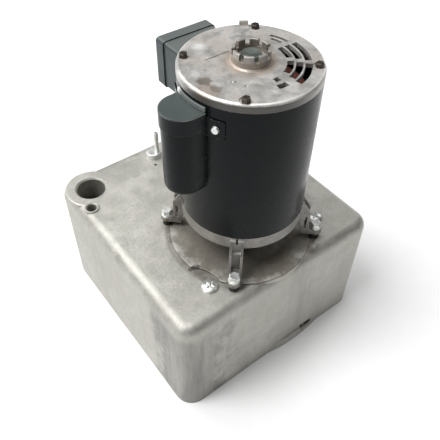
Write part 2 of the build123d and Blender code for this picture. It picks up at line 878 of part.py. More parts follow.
with BuildPart() as bottom_bell:
    with BuildSketch(Plane.XY.offset(ring_bottom)):
        Circle(motor_radius)
    extrude(amount=shell_bottom - ring_bottom)
    fillet(bottom_bell.edges().sort_by(Axis.Z)[0], 3.6)
    with BuildSketch(Plane.XY.offset(shell_bottom)):
        Circle(shell_bore)
    extrude(amount=5)
    with PolarLocations(0, 4, start_angle=corner_angles[0]):
        add(leg.part)
    # open bowl with a bearing boss in the middle
    with BuildSketch(Plane.XY.offset(ring_bottom + 4)):
        Circle(58)
        Circle(bearing_radius + 4, mode=Mode.SUBTRACT)
        for angle in corner_angles:
            with Locations(polar_point(through_bolt_radius, angle)):
                Circle(6.5, mode=Mode.SUBTRACT)
    extrude(amount=30, mode=Mode.SUBTRACT)
    with BuildSketch(Plane.XY.offset(lower_bearing + bearing_width + 3)):
        Circle(bearing_radius + 4.5)
    extrude(amount=20, mode=Mode.SUBTRACT)
    with BuildSketch(Plane.XY.offset(lower_bearing)):
        Circle(bearing_radius)
    extrude(amount=30, mode=Mode.SUBTRACT)
    with BuildSketch(Plane.XY.offset(ring_bottom)):
        Circle(journal_radius + 1.5)
    extrude(amount=5, mode=Mode.SUBTRACT)
    # vent windows in the floor
    with BuildSketch(Plane.XY.offset(ring_bottom)):
        for angle in [a - 45 for a in corner_angles]:
            SlotArc(CenterArc((0, 0), 40, angle - 26, 52, mode=Mode.PRIVATE), 12)
    extrude(amount=6, mode=Mode.SUBTRACT)
    # tapped holes for the through bolts and the slot beside each of them
    with BuildSketch(Plane.XY.offset(ring_bottom + 2.5)):
        for angle in corner_angles:
            with Locations(polar_point(through_bolt_radius, angle)):
                Circle(through_bolt_shank + 0.1)
    extrude(amount=30, mode=Mode.SUBTRACT)
    with BuildSketch(Plane.XY.offset(shell_bottom)):
        with PolarLocations(motor_radius + 1, 4, start_angle=corner_angles[0]):
            Rectangle(6, 2.2)
    extrude(amount=-7, mode=Mode.SUBTRACT)
save(bottom_bell, "bottom_end_bell")

with BuildPart() as foot_bolt:
    with BuildSketch(Plane.XY.offset(ear_top + 1.2)):
        Circle(5.9)
    extrude(amount=1.4, taper=20)
    with BuildSketch(Plane.XY.offset(ear_top + 2)):
        RegularPolygon(5.7, 6)
    extrude(amount=5.2)
    chamfer(foot_bolt.faces().sort_by(Axis.Z)[-1].edges(), 0.6)
    with BuildSketch(Plane.XY.offset(shield_bottom + sheet + 0.5)):
        Circle(foot_shank)
    extrude(amount=ear_top + 3 - shield_bottom - sheet - 0.5)
with BuildPart() as foot_bolts:
    for angle, turn in zip(corner_angles, (10, 25, 0, 20)):
        with Locations(Location((*polar_point(foot_bolt_radius, angle), 0), (0, 0, turn))):
            add(foot_bolt.part)
save(foot_bolts, "foot_bolts")

with BuildPart() as foot_washers:
    with BuildSketch(Plane.XY.offset(ear_top)):
        for angle in corner_angles:
            with Locations(polar_point(foot_bolt_radius, angle)):
                Circle(6.2)
                Circle(foot_shank + 0.2, mode=Mode.SUBTRACT)
    extrude(amount=1.2)
save(foot_washers, "foot_washers")

with BuildPart() as foot_grommets:
    with BuildSketch(Plane.XY.offset(housing_height)):
        for angle in corner_angles:
            with Locations(polar_point(foot_bolt_radius, angle)):
                Circle(5.2)
                Circle(foot_shank + 0.2, mode=Mode.SUBTRACT)
    extrude(amount=ear_bottom - housing_height)
save(foot_grommets, "foot_grommets")


# ---------------------------------------------------------------- capacitor and its cover

def cover_outline(inset):
    """Plan of the capacitor cover: a round nose with straight sides back to the shell."""
    radius = nose_radius - inset
    Circle(radius)
    with Locations((radius, 0)):
        Rectangle(2 * radius, 2 * radius)


with BuildPart() as cover_hollow:
    with BuildSketch(Plane.XY.offset(cover_bottom + 1.3)):
        with Locations(nose_centre):
            cover_outline(2.2)
    extrude(amount=120)
    fillet(cover_hollow.faces().sort_by(Axis.Z)[0].edges().sort_by(Axis.X)[:3], 4.8)

with BuildPart() as capacitor_cover:
    with BuildSketch(Plane.XY.offset(cover_bottom)):
        with Locations(nose_centre):
            cover_outline(0.9)
    extrude(amount=cover_top - cover_bottom - 1.2)
    fillet(capacitor_cover.faces().sort_by(Axis.Z)[0].edges().sort_by(Axis.X)[:3], 6)
    # curved tabs that lie on the shell
    with BuildSketch(Plane.XY.offset(tab_height - 9)):
        with BuildLine():
            tab = CenterArc((0, 0), motor_radius + 0.6, tab_angle - 7, 2 * (180 - tab_angle) + 14)
        trace(tab, line_width=1.2)
    extrude(amount=18)
    with BuildSketch(Plane.XY.offset(cover_bottom - 1)):
        Circle(motor_radius)
    extrude(amount=100, mode=Mode.SUBTRACT)
    add(cover_hollow.part, mode=Mode.SUBTRACT)
    for angle in (tab_angle, -tab_angle):
        with BuildSketch(Plane((0, 0, tab_height), z_dir=(*polar_point(1, angle), 0))):
            Circle(1.8)
        extrude(amount=motor_radius + 5, mode=Mode.SUBTRACT)
save(capacitor_cover, "capacitor_cover")

with BuildPart() as cover_lid:
    with BuildSketch(Plane.XY.offset(cover_step)):
        with Locations(nose_centre):
            cover_outline(0)
    extrude(amount=cover_top - cover_step)
    fillet(cover_lid.faces().sort_by(Axis.Z)[-1].edges().sort_by(Axis.X)[0], 1.3)
    with BuildSketch(Plane.XY.offset(cover_step)):
        with Locations(nose_centre):
            cover_outline(0.9)
    extrude(amount=cover_top - cover_step - 1.2, mode=Mode.SUBTRACT)
    with BuildSketch(Plane.XY.offset(cover_step)):
        Circle(motor_radius + 1.3)
    extrude(amount=20, mode=Mode.SUBTRACT)
    # upturned rear edge that lies along the shell
    with BuildSketch(Plane.XY.offset(cover_top - 1.2)):
        with BuildLine():
            rear = CenterArc((0, 0), motor_radius + 1, lid_edge_angle, 2 * (180 - lid_edge_angle) + 1)
        trace(rear, line_width=1.8)
    extrude(amount=lid_edge_top - cover_top + 1.2)
save(cover_lid, "capacitor_cover_lid")

with BuildPart() as capacitor:
    with BuildSketch(Plane.XY.offset(cover_bottom + 4)):
        with Locations((capacitor_x, nose_centre[1])):
            Ellipse(capacitor_half_depth, capacitor_half_width)
    extrude(amount=56)
    fillet(capacitor.faces().sort_by(Axis.Z)[-1].edges(), 1.5)
    fillet(capacitor.faces().sort_by(Axis.Z)[0].edges(), 1.5)
    with BuildSketch(Plane.XY.offset(cover_bottom + 60)):
        with Locations((capacitor_x, nose_centre[1])):
            with GridLocations(1, 12, 1, 2):
                Rectangle(6, 1)
    extrude(amount=8)
save(capacitor, "capacitor")

with BuildPart() as cover_screws:
    for angle in (tab_angle, -tab_angle):
        facing = Plane((0, 0, tab_height), z_dir=(*polar_point(1, angle), 0))
        with BuildSketch(facing.offset(motor_radius + 1.2)):
            Circle(3.6)
        extrude(amount=2.2, taper=15)
        with BuildSketch(facing.offset(motor_radius - 5)):
            Circle(1.5)
        extrude(amount=6.5)
save(cover_screws, "capacitor_cover_screws")


# ---------------------------------------------------------------- junction box

box_mid_x = (box_left + box_right) / 2
box_mid_z = (box_bottom + box_top) / 2
box_width = box_right - box_left
box_height = box_top - box_bottom
box_wall = 1.6
skirt = 1.2
skirt_depth = 12.0
conduit_y = 73.0
conduit_z = box_mid_z

with BuildPart() as junction_box:
    with BuildSketch(Plane.XZ.offset(-40)):
        with Locations((box_mid_x, box_mid_z)):
            RectangleRounded(box_width - 2 * skirt, box_height - 2 * skirt, 3)
    extrude(amount=-(box_face - skirt - 40))
    with BuildSketch(Plane.XZ.offset(-40)):
        with Locations((box_mid_x, box_mid_z)):
            RectangleRounded(box_width - 2 * (skirt + box_wall), box_height - 2 * (skirt + box_wall), 2)
    extrude(amount=-60, mode=Mode.SUBTRACT)
    # floor of the box, saddled to the shell
    with BuildSketch(Plane.XY.offset(box_bottom + skirt)):
        with BuildLine():
            saddle = CenterArc((0, 0), motor_radius + 0.8, 68, 50)
        trace(saddle, line_width=1.6)
    extrude(amount=box_height - 2 * skirt)
    with BuildSketch(Plane.XY.offset(box_bottom)):
        Circle(motor_radius)
    extrude(amount=box_height, mode=Mode.SUBTRACT)
    with BuildSketch(Plane.XZ.offset(-motor_radius - 10)):
        with Locations((-3, 326)):
            Circle(9)
    extrude(amount=20, mode=Mode.SUBTRACT)
    # conduit entry in the right end
    with BuildSketch(Plane.YZ.offset(box_right + 1)):
        with Locations((conduit_y, conduit_z)):
            Circle(8.4)
    extrude(amount=-7, mode=Mode.SUBTRACT)
    # lugs behind the lid with their screw holes
    with BuildSketch(Plane.XZ.offset(-(box_face - skirt - 8))):
        with Locations((box_left + 8, box_mid_z), (box_right - 8, box_mid_z)):
            Rectangle(11, 12)
    extrude(amount=-8)
    with BuildSketch(Plane.XZ.offset(-(box_face - skirt - 9))):
        with Locations((box_left + 8, box_mid_z), (box_right - 8, box_mid_z)):
            Circle(1.6)
    extrude(amount=-10, mode=Mode.SUBTRACT)
save(junction_box, "junction_box")

with BuildPart() as box_lid:
    with BuildSketch(Plane.XZ.offset(-(box_face - skirt_depth))):
        with Locations((box_mid_x, box_mid_z)):
            RectangleRounded(box_width, box_height, 4)
    extrude(amount=-skirt_depth)
    fillet(box_lid.faces().sort_by(Axis.Y)[-1].edges(), 0.9)
    with BuildSketch(Plane.XZ.offset(-(box_face - skirt_depth))):
        with Locations((box_mid_x, box_mid_z)):
            RectangleRounded(box_width - 2 * skirt, box_height - 2 * skirt, 3)
    extrude(amount=-(skirt_depth - skirt), mode=Mode.SUBTRACT)
    with BuildSketch(Plane.XZ.offset(-(box_face - 2))):
        with Locations((box_left + 8, box_mid_z), (box_right - 8, box_mid_z)):
            Circle(1.8)
    extrude(amount=-3, mode=Mode.SUBTRACT)
save(box_lid, "junction_box_lid")

with BuildPart() as box_screws:
    with BuildSketch(Plane.XZ.offset(-(box_face - 8))):
        with Locations((box_left + 8, box_mid_z), (box_right - 8, box_mid_z)):
            Circle(1.5)
    extrude(amount=-8)
    with BuildSketch(Plane.XZ.offset(-box_face)):
        with Locations((box_left + 8, box_mid_z), (box_right - 8, box_mid_z)):
            Circle(3.4)
    extrude(amount=-2, taper=15)
    with BuildSketch(Plane.XZ.offset(-box_face - 3)):
        with Locations((box_left + 8, box_mid_z), (box_right - 8, box_mid_z)):
            Rectangle(5, 0.9)
            Rectangle(0.9, 5)
    extrude(amount=2.2, mode=Mode.SUBTRACT)
save(box_screws, "junction_box_screws")

with BuildPart() as conduit_bushing:
    with BuildSketch(Plane.YZ.offset(box_right - skirt)):
        with Locations((conduit_y, conduit_z)):
            Circle(10)
            Circle(6.2, mode=Mode.SUBTRACT)
    extrude(amount=2)
    with BuildSketch(Plane.YZ.offset(box_right - skirt)):
        with Locations((conduit_y, conduit_z)):
            Circle(8.3)
            Circle(6.2, mode=Mode.SUBTRACT)
    extrude(amount=-6)
save(conduit_bushing, "conduit_bushing")

with BuildPart() as terminal_block:
    with BuildSketch(Plane.XY.offset(box_bottom + 14)):
        with Locations((box_mid_x, motor_radius + 9)):
            Rectangle(34, 8)
    extrude(amount=8)
    with BuildSketch(Plane.XZ.offset(-(motor_radius + 13))):
        with Locations((box_mid_x, box_bottom + 18)):
            with GridLocations(9, 1, 4, 1):
                Circle(2.4)
    extrude(amount=-1.6)
save(terminal_block, "terminal_block")

with BuildPart() as lead_grommet:
    with BuildSketch(Plane.XZ.offset(-motor_radius + 4)):
        with Locations((-3, 326)):
            Circle(8.9)
            Circle(6, mode=Mode.SUBTRACT)
    extrude(amount=-8)
save(lead_grommet, "lead_grommet")


# ---------------------------------------------------------------- pressure tap on the roof

with BuildPart() as pressure_tap:
    with BuildSketch(Plane.XY.offset(housing_height)):
        with Locations(fitting_centre):
            Circle(9.4)
    extrude(amount=6.4)
    fillet(pressure_tap.faces().sort_by(Axis.Z)[-1].edges(), 1.6)
    with BuildSketch(Plane.XY.offset(housing_height - 12)):
        with Locations(fitting_centre):
            Circle(fitting_thread_radius)
    extrude(amount=12)
    # stem set to one side of the plug
    with BuildSketch(Plane.XY.offset(housing_height + 6.4)):
        with Locations(stem_centre):
            Circle(2.6)
    extrude(amount=29.6)
    for level in (26, 30.5):
        with BuildSketch(Plane.XY.offset(housing_height + level)):
            with Locations(stem_centre):
                Circle(3.2)
        extrude(amount=3, taper=11)
    with BuildSketch(Plane.XY.offset(housing_height - 12)):
        with Locations(stem_centre):
            Circle(1.2)
    extrude(amount=60, mode=Mode.SUBTRACT)
save(pressure_tap, "pressure_tap")
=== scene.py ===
import json
import math

import bpy
from mathutils import Matrix, Vector


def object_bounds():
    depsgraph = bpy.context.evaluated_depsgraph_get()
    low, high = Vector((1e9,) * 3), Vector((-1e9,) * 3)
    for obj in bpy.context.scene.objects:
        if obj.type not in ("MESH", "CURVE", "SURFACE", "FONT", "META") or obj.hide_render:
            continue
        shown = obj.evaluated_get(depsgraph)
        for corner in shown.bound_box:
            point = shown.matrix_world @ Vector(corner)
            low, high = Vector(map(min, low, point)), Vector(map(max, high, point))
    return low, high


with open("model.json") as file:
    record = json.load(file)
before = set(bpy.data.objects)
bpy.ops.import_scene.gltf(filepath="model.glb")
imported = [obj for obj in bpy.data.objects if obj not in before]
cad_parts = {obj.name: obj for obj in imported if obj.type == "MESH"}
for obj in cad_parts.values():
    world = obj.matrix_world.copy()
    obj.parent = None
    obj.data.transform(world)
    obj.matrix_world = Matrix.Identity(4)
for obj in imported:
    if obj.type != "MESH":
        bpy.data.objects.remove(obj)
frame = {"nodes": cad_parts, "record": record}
cad_low, cad_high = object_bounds()
nodes = frame["nodes"]

# heights and radii that the stains, the painted shade and the painted highlights follow, in metres
roof = cad_low[2] + 0.151
hub_top = cad_high[2]
hub_radius = 0.0168
bell_face = hub_top - 0.0124
bell_radius = 0.0635
lid_edge = hub_top - 0.0274
plain_corner = (cad_low[0] + 0.0055, cad_low[1] + 0.010)
pocket_x = 0.0495


# ---------------------------------------------------------------- node helpers


def new_material(name):
    """A material with an empty tree, its shader and its object coordinates."""
    material = bpy.data.materials.new(name)
    material.use_nodes = True
    tree = material.node_tree
    tree.nodes.clear()
    output = tree.nodes.new("ShaderNodeOutputMaterial")
    shader = tree.nodes.new("ShaderNodeBsdfPrincipled")
    coords = tree.nodes.new("ShaderNodeTexCoord")
    tree.links.new(shader.outputs["BSDF"], output.inputs["Surface"])
    return material, tree, shader, coords.outputs["Object"]


def noise(tree, coords, scale, detail=4.0, rough=0.55, stretch=None):
    """Noise in object space, with scale in cycles per metre."""
    node = tree.nodes.new("ShaderNodeTexNoise")
    node.inputs["Scale"].default_value = scale
    node.inputs["Detail"].default_value = detail
    node.inputs["Roughness"].default_value = rough
    source = coords
    if stretch:
        mapping = tree.nodes.new("ShaderNodeMapping")
        mapping.inputs["Scale"].default_value = stretch
        tree.links.new(coords, mapping.inputs["Vector"])
        source = mapping.outputs["Vector"]
    tree.links.new(source, node.inputs["Vector"])
    return node.outputs["Fac"]


def cells(tree, coords, scale):
    """Distance to the nearest point of a random cell pattern."""
    node = tree.nodes.new("ShaderNodeTexVoronoi")
    node.inputs["Scale"].default_value = scale
    tree.links.new(coords, node.inputs["Vector"])
    return node.outputs["Distance"]


def remap(tree, value, low, high, to_low=0.0, to_high=1.0):
    """Value from low..high becomes to_low..to_high, smoothly, and stays inside."""
    node = tree.nodes.new("ShaderNodeMapRange")
    node.interpolation_type = "SMOOTHSTEP"
    node.inputs["From Min"].default_value = low
    node.inputs["From Max"].default_value = high
    node.inputs["To Min"].default_value = to_low
    node.inputs["To Max"].default_value = to_high
    tree.links.new(value, node.inputs["Value"])
    return node.outputs["Result"]


def math_node(tree, operation, first, second=0.0):
    """One arithmetic step on sockets or plain numbers."""
    node = tree.nodes.new("ShaderNodeMath")
    node.operation = operation
    node.use_clamp = operation in ("MULTIPLY", "MAXIMUM")
    for socket, value in zip(node.inputs, (first, second)):
        if isinstance(value, (int, float)):
            socket.default_value = value
        else:
            tree.links.new(value, socket)
    return node.outputs["Value"]


def product(tree, first, *others):
    """All the masks multiplied together."""
    result = first
    for other in others:
        result = math_node(tree, "MULTIPLY", result, other)
    return result


def between(tree, value, start, full, fade, end):
    """Bright from full to fade, and dark before start and after end."""
    return product(tree, remap(tree, value, start, full), remap(tree, value, fade, end, 1.0, 0.0))


def blend_colour(tree, factor, under, over):
    """The under colour where factor is 0 and the over colour where it is 1."""
    node = tree.nodes.new("ShaderNodeMix")
    node.data_type = "RGBA"
    tree.links.new(factor, node.inputs["Factor"])
    for socket, value in ((node.inputs["A"], under), (node.inputs["B"], over)):
        if isinstance(value, tuple):
            socket.default_value = (*value, 1.0)
        else:
            tree.links.new(value, socket)
    return node.outputs["Result"]


def lay_over(tree, colour, layers):
    """Tones laid over a colour, first to last, each given as (mask, tone)."""
    for mask, tone in layers:
        colour = blend_colour(tree, mask, colour, tone)
    return colour


def bump(tree, shader, height, distance, strength, below=None):
    """Fine relief on the surface, over an earlier relief or over softened edges."""
    node = tree.nodes.new("ShaderNodeBump")
    node.inputs["Distance"].default_value = distance
    node.inputs["Strength"].default_value = strength
    tree.links.new(height, node.inputs["Height"])
    tree.links.new(below or soft_edges(tree, 0.0006), node.inputs["Normal"])
    tree.links.new(node.outputs["Normal"], shader.inputs["Normal"])
    return node.outputs["Normal"]


def parts_of(tree, vector):
    """The x, y and z of a vector."""
    node = tree.nodes.new("ShaderNodeSeparateXYZ")
    tree.links.new(vector, node.inputs["Vector"])
    return node.outputs["X"], node.outputs["Y"], node.outputs["Z"]


def radial(tree, coords, centre=(0.0, 0.0)):
    """Distance from a vertical axis."""
    x, y, _ = parts_of(tree, coords)
    along = math_node(tree, "SUBTRACT", x, centre[0])
    across = math_node(tree, "SUBTRACT", y, centre[1])
    squares = [math_node(tree, "POWER", side, 2.0) for side in (along, across)]
    return math_node(tree, "SQRT", math_node(tree, "ADD", *squares))


def soft_edges(tree, radius):
    """Normal with its sharp edges rounded off."""
    node = tree.nodes.new("ShaderNodeBevel")
    node.samples = 6
    node.inputs["Radius"].default_value = radius
    return node.outputs["Normal"]


def edge_mask(tree, radius=0.0012, low=0.03, high=0.16):
    """Bright within radius of a sharp edge, where coating and dirt rub off."""
    surface = tree.nodes.new("ShaderNodeNewGeometry")
    dot = tree.nodes.new("ShaderNodeVectorMath")
    dot.operation = "DOT_PRODUCT"
    tree.links.new(soft_edges(tree, radius), dot.inputs[0])
    tree.links.new(surface.outputs["Normal"], dot.inputs[1])
    return remap(tree, math_node(tree, "SUBTRACT", 1.0, dot.outputs["Value"]), low, high)


def facing_up(tree):
    """Bright on level faces: dust that settles there, with a painted sheen where light falls on top."""
    surface = tree.nodes.new("ShaderNodeNewGeometry")
    _, _, up_share = parts_of(tree, surface.outputs["Normal"])
    return remap(tree, up_share, 0.55, 0.95)


def spot(tree, coords, centre, radius, ragged):
    """Soft blot around a vertical axis, with a torn outline."""
    shaken = math_node(tree, "ADD", radial(tree, coords, centre), ragged)
    return remap(tree, shaken, radius * 0.45, radius, 1.0, 0.0)


# ---------------------------------------------------------------- cast housing


# painted shade on the roof where the scallop in the motor pad ends: centre, radius
painted_scallop_shades = (
    ((-0.0783, -0.0138), 0.0030),
    ((-0.0745, -0.0153), 0.0032),
    ((-0.0705, -0.0174), 0.0026),
)


def corner_smear(tree, coords, mottle, streaks):
    """Handling smudge down the corner between the two plain walls."""
    _, _, z = parts_of(tree, coords)
    blot = spot(tree, coords, plain_corner, 0.062, remap(tree, mottle, 0.3, 0.7, -0.014, 0.014))
    below_roof = remap(tree, z, roof - 0.026, roof - 0.008, 1.0, 0.0)
    return product(tree, blot, below_roof, remap(tree, streaks, 0.36, 0.62, 0.30, 0.95))


def motor_stain(tree, coords, mottle):
    """Warm stain on the roof around the motor."""
    _, _, z = parts_of(tree, coords)
    shake = remap(tree, noise(tree, coords, 60, 4), 0.3, 0.7, -0.012, 0.012)
    distance = math_node(tree, "ADD", radial(tree, coords, (0.004, 0.002)), shake)
    near_motor = remap(tree, distance, 0.070, 0.088, 1.0, 0.0)
    on_roof = remap(tree, z, roof - 0.005, roof - 0.001)
    return product(tree, near_motor, on_roof, remap(tree, mottle, 0.25, 0.62, 0.40, 0.85))


def painted_pad_step_shade(tree, coords):
    """Painted shade along the low step of the motor pad."""
    _, _, z = parts_of(tree, coords)
    step = between(tree, z, roof - 0.0002, roof + 0.0002, roof + 0.0018, roof + 0.0023)
    return product(tree, step, remap(tree, radial(tree, coords), 0.082, 0.086, 0.85, 0.0))


def painted_scallop_shade(tree, coords, mottle, centre, radius):
    """One patch of painted shade on the roof."""
    _, _, z = parts_of(tree, coords)
    blot = spot(tree, coords, centre, radius, remap(tree, mottle, 0.3, 0.7, -0.0005, 0.0005))
    return product(tree, blot, remap(tree, z, roof - 0.005, roof - 0.001, 0.0, 0.80))


def screw_pocket(tree, coords):
    """Deep shade inside the screw pocket by the foot."""
    x, y, z = parts_of(tree, coords)
    front = cad_low[1]
    return product(
        tree,
        between(tree, y, front + 0.0050, front + 0.0056, front + 0.0095, front + 0.0100),
        between(tree, z, 0.0034, 0.0044, 0.0132, 0.0138),
        between(tree, x, pocket_x - 0.0110, pocket_x - 0.0100, pocket_x + 0.0100, pocket_x + 0.0110),
        0.9,
    )


def cast_aluminium(name):
    """Sand-cast metal: mottled, streaked, stained by use and rubbed at its edges, with painted shade at the
    pad's step, at the scallop ends and in the screw pocket.
    """
    material, tree, shader, coords = new_material(name)
    grain = noise(tree, coords, 900, 5, 0.7)
    mottle = noise(tree, coords, 55, 6, 0.62)
    pepper = noise(tree, coords, 330, 4, 0.7)
    patches = noise(tree, coords, 14, 5, 0.6)
    streaks = noise(tree, coords, 34, 6, 0.65, (1.0, 1.0, 0.10))
    metal = blend_colour(tree, remap(tree, mottle, 0.36, 0.66), (0.455, 0.447, 0.405), (0.565, 0.556, 0.512))
    colour = lay_over(tree, metal, (
        (remap(tree, pepper, 0.50, 0.70, 0.0, 0.42), (0.34, 0.335, 0.31)),
        (remap(tree, pepper, 0.28, 0.44, 0.30, 0.0), (0.68, 0.675, 0.65)),
        (remap(tree, patches, 0.42, 0.68, 0.0, 0.25), (0.38, 0.365, 0.335)),
        (remap(tree, streaks, 0.52, 0.70, 0.0, 0.42), (0.32, 0.31, 0.285)),
        (corner_smear(tree, coords, mottle, streaks), (0.25, 0.245, 0.23)),
        (motor_stain(tree, coords, mottle), (0.19, 0.165, 0.135)),
        # painted shade on the pad's step
        (painted_pad_step_shade(tree, coords), (0.13, 0.12, 0.105)),
        # painted shade at the ends of the pad's scallops
        *((painted_scallop_shade(tree, coords, mottle, *smudge), (0.085, 0.078, 0.068)) for smudge in painted_scallop_shades),
        (screw_pocket(tree, coords), (0.035, 0.033, 0.030)),
        (remap(tree, cells(tree, coords, 210), 0.05, 0.13, 0.55, 0.0), (0.20, 0.195, 0.18)),
        (product(tree, edge_mask(tree, 0.0006, 0.05, 0.22), 0.45), (0.66, 0.655, 0.64)),
    ))
    tree.links.new(colour, shader.inputs["Base Color"])
    tree.links.new(remap(tree, mottle, 0.3, 0.7, 0.48, 0.64), shader.inputs["Roughness"])
    shader.inputs["Metallic"].default_value = 0.72
    first = bump(tree, shader, grain, 0.00030, 0.6)
    second = bump(tree, shader, pepper, 0.00045, 0.5, first)
    bump(tree, shader, mottle, 0.0007, 0.5, second)
    return material


# ---------------------------------------------------------------- upper end bell


# blots on the bell: centre from the shaft axis, radius, strength, colour
bell_marks = (
    ((-0.022, 0.044), 0.0085, 0.85, (0.93, 0.93, 0.91)),
    ((-0.057, -0.015), 0.0120, 0.55, (0.50, 0.40, 0.31)),
    ((-0.049, -0.002), 0.0065, 0.75, (0.22, 0.19, 0.15)),
    ((-0.048, -0.016), 0.0050, 0.65, (0.25, 0.21, 0.17)),
    ((-0.030, -0.023), 0.0120, 0.35, (0.80, 0.79, 0.76)),
)


def hub_halo(tree, reach, z, cloud):
    """Warm discoloured foot around the hub."""
    from_wall = math_node(tree, "SUBTRACT", reach, hub_radius)
    ring = between(tree, from_wall, -0.0018, -0.0004, 0.0017, 0.0102)
    low = remap(tree, z, hub_top - 0.0062, hub_top - 0.0050, 1.0, 0.0)
    return product(tree, ring, low, remap(tree, cloud, 0.30, 0.60, 0.35, 0.85))


def hub_stain(tree, reach, z):
    """Brown stain in the hub's slots and bore."""
    from_wall = math_node(tree, "SUBTRACT", reach, hub_radius)
    ring = between(tree, from_wall, -0.0038, -0.0034, -0.0003, -0.0001)
    return product(tree, ring, remap(tree, z, hub_top - 0.0018, hub_top - 0.0004, 0.80, 0.0))


def hub_dulling(tree, reach, cloud):
    """Patchy dull metal over the whole hub."""
    hub = remap(tree, reach, hub_radius + 0.0002, hub_radius + 0.0004, 1.0, 0.0)
    return product(tree, hub, remap(tree, cloud, 0.30, 0.62, 0.30, 0.70))


def painted_rim_shade(tree, reach, x, y, z):
    """Painted shade on the wall below the turned edge, darkest on the front-left side."""
    below_edge = remap(tree, z, bell_face - 0.0024, bell_face - 0.0014, 1.0, 0.0)
    outside = remap(tree, reach, bell_radius - 0.0023, bell_radius - 0.0013)
    leftward = math_node(tree, "DIVIDE", x, -0.096)
    backward = math_node(tree, "DIVIDE", y, 0.084)
    front_left_share = math_node(tree, "SUBTRACT", leftward, backward)
    return product(tree, below_edge, outside, remap(tree, front_left_share, 0.30, 0.95, 0.15, 0.92))


def painted_edge_highlight(tree, reach, z):
    """Painted highlight: a bright line along the turned outer edge."""
    from_wall = math_node(tree, "SUBTRACT", reach, bell_radius)
    line = between(tree, from_wall, -0.0030, -0.0023, -0.0015, -0.0009)
    return product(tree, line, remap(tree, z, bell_face - 0.0030, bell_face - 0.0020), 0.6)


def turned_bell(name):
    """Face and rim of the upper end bell: blotched, stained at the hub, with painted shade on the rim wall
    and a painted highlight on the turned edge.
    """
    material, tree, shader, coords = new_material(name)
    x, y, z = parts_of(tree, coords)
    reach = radial(tree, coords)
    cloud = noise(tree, coords, 62, 6, 0.64)
    pepper = noise(tree, coords, 380, 4, 0.68)
    tarnish = noise(tree, coords, 31, 4, 0.6)
    ragged = remap(tree, cloud, 0.3, 0.7, -0.003, 0.003)
    halo = hub_halo(tree, reach, z, cloud)
    metal = blend_colour(tree, remap(tree, cloud, 0.34, 0.64), (0.50, 0.485, 0.455), (0.70, 0.69, 0.665))
    colour = lay_over(tree, metal, (
        (remap(tree, tarnish, 0.50, 0.64, 0.0, 0.55), (0.60, 0.53, 0.475)),
        (remap(tree, pepper, 0.54, 0.72, 0.0, 0.55), (0.33, 0.315, 0.29)),
        (remap(tree, pepper, 0.28, 0.42, 0.40, 0.0), (0.84, 0.835, 0.81)),
        (halo, (0.50, 0.40, 0.325)),
        (hub_stain(tree, reach, z), (0.19, 0.150, 0.112)),
        (hub_dulling(tree, reach, cloud), (0.36, 0.335, 0.30)),
        *(
            (product(tree, spot(tree, coords, centre, radius, ragged), strength), tone)
            for centre, radius, strength, tone in bell_marks
        ),
        # painted shade on the rim wall, darkest at the front-left
        (painted_rim_shade(tree, reach, x, y, z), (0.058, 0.057, 0.053)),
        # painted highlight along the turned edge
        (painted_edge_highlight(tree, reach, z), (0.88, 0.875, 0.86)),
    ))
    tree.links.new(colour, shader.inputs["Base Color"])
    rough = math_node(tree, "MAXIMUM", remap(tree, cloud, 0.3, 0.7, 0.40, 0.58), product(tree, halo, 0.95))
    tree.links.new(rough, shader.inputs["Roughness"])
    shader.inputs["Metallic"].default_value = 0.72
    first = bump(tree, shader, noise(tree, coords, 1300, 4, 0.7), 0.00012, 0.5)
    bump(tree, shader, pepper, 0.00025, 0.5, first)
    return material


# ---------------------------------------------------------------- other materials


def satin_aluminium(name, light, dark, rough, scale=70, stained=True):
    """Dull bare metal with faint clouds and, where it is old, brown spots."""
    material, tree, shader, coords = new_material(name)
    cloud = noise(tree, coords, scale, 5, 0.6)
    colour = blend_colour(tree, remap(tree, cloud, 0.36, 0.66), dark, light)
    if stained:
        spots = remap(tree, noise(tree, coords, 110, 3, 0.5), 0.60, 0.70, 0.0, 0.75)
        colour = blend_colour(tree, spots, colour, (0.25, 0.20, 0.14))
    colour = blend_colour(tree, edge_mask(tree), colour, tuple(min(1.0, part * 1.25) for part in light))
    tree.links.new(colour, shader.inputs["Base Color"])
    tree.links.new(remap(tree, cloud, 0.3, 0.7, *rough), shader.inputs["Roughness"])
    shader.inputs["Metallic"].default_value = 0.85
    bump(tree, shader, noise(tree, coords, 1300, 4, 0.7), 0.00012, 0.5)
    return material


def lid_wear_and_highlights(tree, coords, cloud):
    """Bare rear lip of the capacitor lid, against the shell, with a painted highlight at its +y end, and a
    painted highlight along the line under its top edge.
    """
    _, y, z = parts_of(tree, coords)
    above_edge = remap(tree, z, lid_edge + 0.0002, lid_edge + 0.0008)
    by_shell = remap(tree, radial(tree, coords), bell_radius + 0.0019, bell_radius + 0.0023, 1.0, 0.0)
    # lip: worn bare metal, turning into a painted highlight towards +y
    lip = blend_colour(tree, remap(tree, y, 0.010, 0.017), (0.20, 0.22, 0.215), (0.90, 0.90, 0.88))
    # painted highlight along the lid's top edge, broken up by the cloud noise
    line = between(tree, z, lid_edge - 0.0015, lid_edge - 0.0009, lid_edge - 0.0006, lid_edge - 0.0001)
    return (
        (product(tree, above_edge, by_shell), lip),
        (product(tree, line, remap(tree, cloud, 0.42, 0.55, 0.15, 0.85)), (0.24, 0.26, 0.255)),
    )


